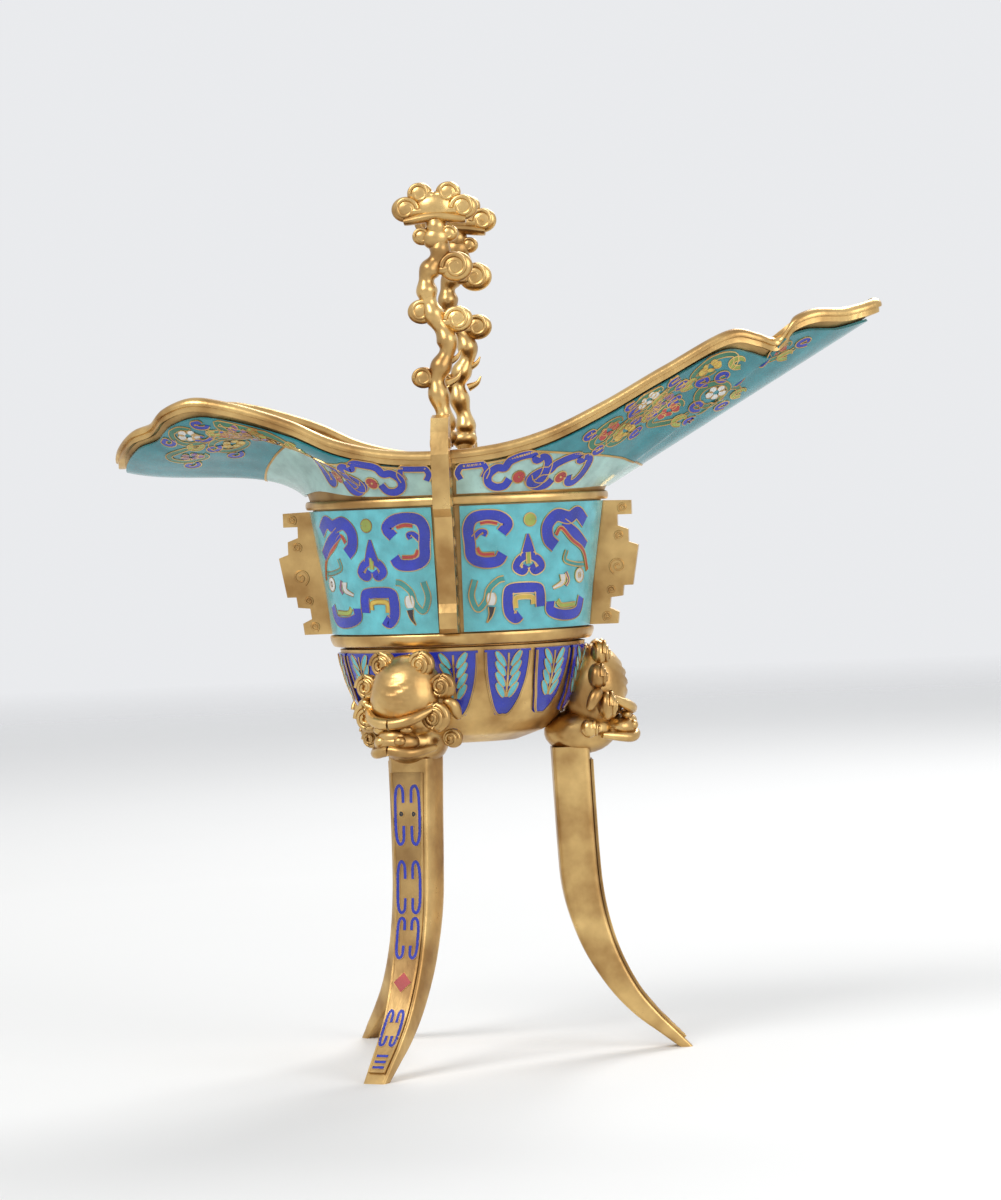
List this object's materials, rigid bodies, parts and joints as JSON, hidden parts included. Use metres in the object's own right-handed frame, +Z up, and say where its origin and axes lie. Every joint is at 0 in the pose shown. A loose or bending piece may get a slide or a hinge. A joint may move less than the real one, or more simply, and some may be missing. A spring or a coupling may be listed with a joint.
{
  "type": "libation cup",
  "caption": "Tripod libation cup in gilt bronze and enamel, with a rounded spout, a pointed tail, rim posts, lion-mask legs and flanged sides.",
  "frame": {"origin": "middle of the footprint, on the surface that the three feet stand on", "axes": "+Z up, +X towards the pointed tail, -X towards the spout, -Y towards the front"},
  "size_m": [0.1778, 0.0868, 0.2],
  "materials": {
    "gilt_bronze": "gilded, polished on the raised parts and dull in the hollows",
    "turquoise_enamel": "polished opaque cloisonne enamel",
    "cobalt_enamel": "polished opaque cloisonne enamel"
  },
  "bodies": {
    "root": {"cup_wall": "gilt_bronze", "rim_moulding": "gilt_bronze", "upper_band": "gilt_bronze", "lower_band": "gilt_bronze", "flange_tail": "gilt_bronze", "flange_spout": "gilt_bronze", "strap_front": "gilt_bronze", "strap_back": "gilt_bronze", "post_front": "gilt_bronze", "post_back": "gilt_bronze", "bowl": "gilt_bronze", "lion_mask_tail": "gilt_bronze", "lion_mask_back": "gilt_bronze", "lion_mask_front": "gilt_bronze", "leg_tail": "gilt_bronze", "leg_back": "gilt_bronze", "leg_front": "gilt_bronze", "belly_enamel_tail_back": "turquoise_enamel", "belly_enamel_spout_back": "turquoise_enamel", "belly_enamel_spout_front": "turquoise_enamel", "belly_enamel_tail_front": "turquoise_enamel", "tail_lip_enamel": "turquoise_enamel", "spout_lip_enamel": "turquoise_enamel", "leg_enamel_tail": "cobalt_enamel", "leg_enamel_back": "cobalt_enamel", "leg_enamel_front": "cobalt_enamel", "lappet_01": "cobalt_enamel", "lappet_02": "turquoise_enamel", "lappet_03": "cobalt_enamel", "lappet_04": "turquoise_enamel", "lappet_05": "cobalt_enamel", "lappet_06": "turquoise_enamel", "lappet_07": "cobalt_enamel", "lappet_08": "turquoise_enamel", "lappet_09": "cobalt_enamel", "lappet_10": "turquoise_enamel", "lappet_11": "cobalt_enamel", "lappet_12": "turquoise_enamel", "lappet_13": "cobalt_enamel", "lappet_14": "turquoise_enamel"}
  },
  "joints": []
}
